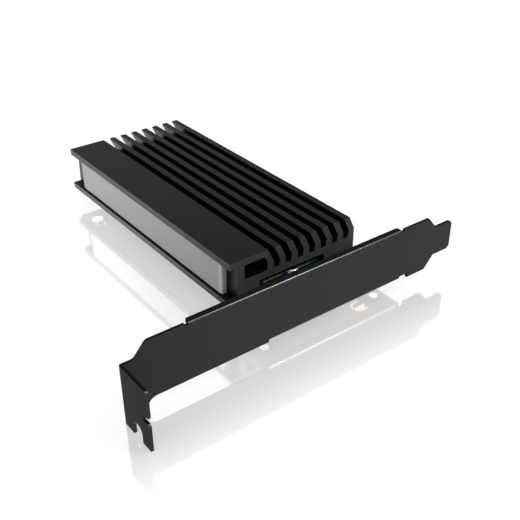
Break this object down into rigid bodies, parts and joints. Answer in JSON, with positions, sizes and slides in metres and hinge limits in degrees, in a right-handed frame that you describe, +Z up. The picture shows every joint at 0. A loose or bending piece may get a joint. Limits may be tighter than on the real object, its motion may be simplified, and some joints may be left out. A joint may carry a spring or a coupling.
{
  "type": "nvme adapter card",
  "caption": "Adapter card that holds a solid-state drive under a black finned heat sink with a light bar, on a full-height slot bracket.",
  "frame": {"origin": "corner where the bracket tab's seat face, the bracket strip's outer face and the board's component side meet, taken as three planes", "axes": "+X along the bracket from its screw tab to its tongue, +Y into the machine along the card, away from the bracket's outer face, +Z up from the board's component side"},
  "size_m": [0.1201, 0.1311, 0.0232],
  "materials": {
    "bracket_steel": "fine black powder coat",
    "screw_steel": "bright zinc plate",
    "board_mask": "satin black solder mask over glass laminate",
    "gold_plate": "hard gold plate",
    "lamp_white": "clear moulded lamp on a white base",
    "socket_plastic": "moulded black plastic",
    "tin_plate": "tin plate",
    "drive_mask": "green solder mask",
    "package_epoxy": "matt black epoxy",
    "small_parts": "fired ceramic with tinned ends",
    "pad_silicone": "soft grey silicone",
    "anodised_aluminium": "satin black anodised",
    "frosted_plastic": "frosted white light guide"
  },
  "bodies": {
    "root": {"bracket": "bracket_steel", "bracket_screws": "screw_steel", "adapter_board": "board_mask", "edge_contacts_front": "gold_plate", "edge_contacts_back": "gold_plate", "thermal_land": "gold_plate", "slot_rims": "gold_plate", "header_pads": "gold_plate", "drive_contacts": "gold_plate", "indicator_lamps": "lamp_white", "socket_housing": "socket_plastic", "socket_contacts": "gold_plate", "socket_tabs": "tin_plate", "drive_standoff": "screw_steel", "drive_screw": "screw_steel", "drive_board": "drive_mask", "packages_upper": "package_epoxy", "packages_lower": "package_epoxy", "drive_controller": "package_epoxy", "drive_small_parts": "small_parts", "lower_thermal_pad": "pad_silicone", "upper_thermal_pad": "pad_silicone", "heatsink": "anodised_aluminium", "light_bar": "frosted_plastic", "heatsink_screws": "screw_steel"}
  },
  "joints": []
}
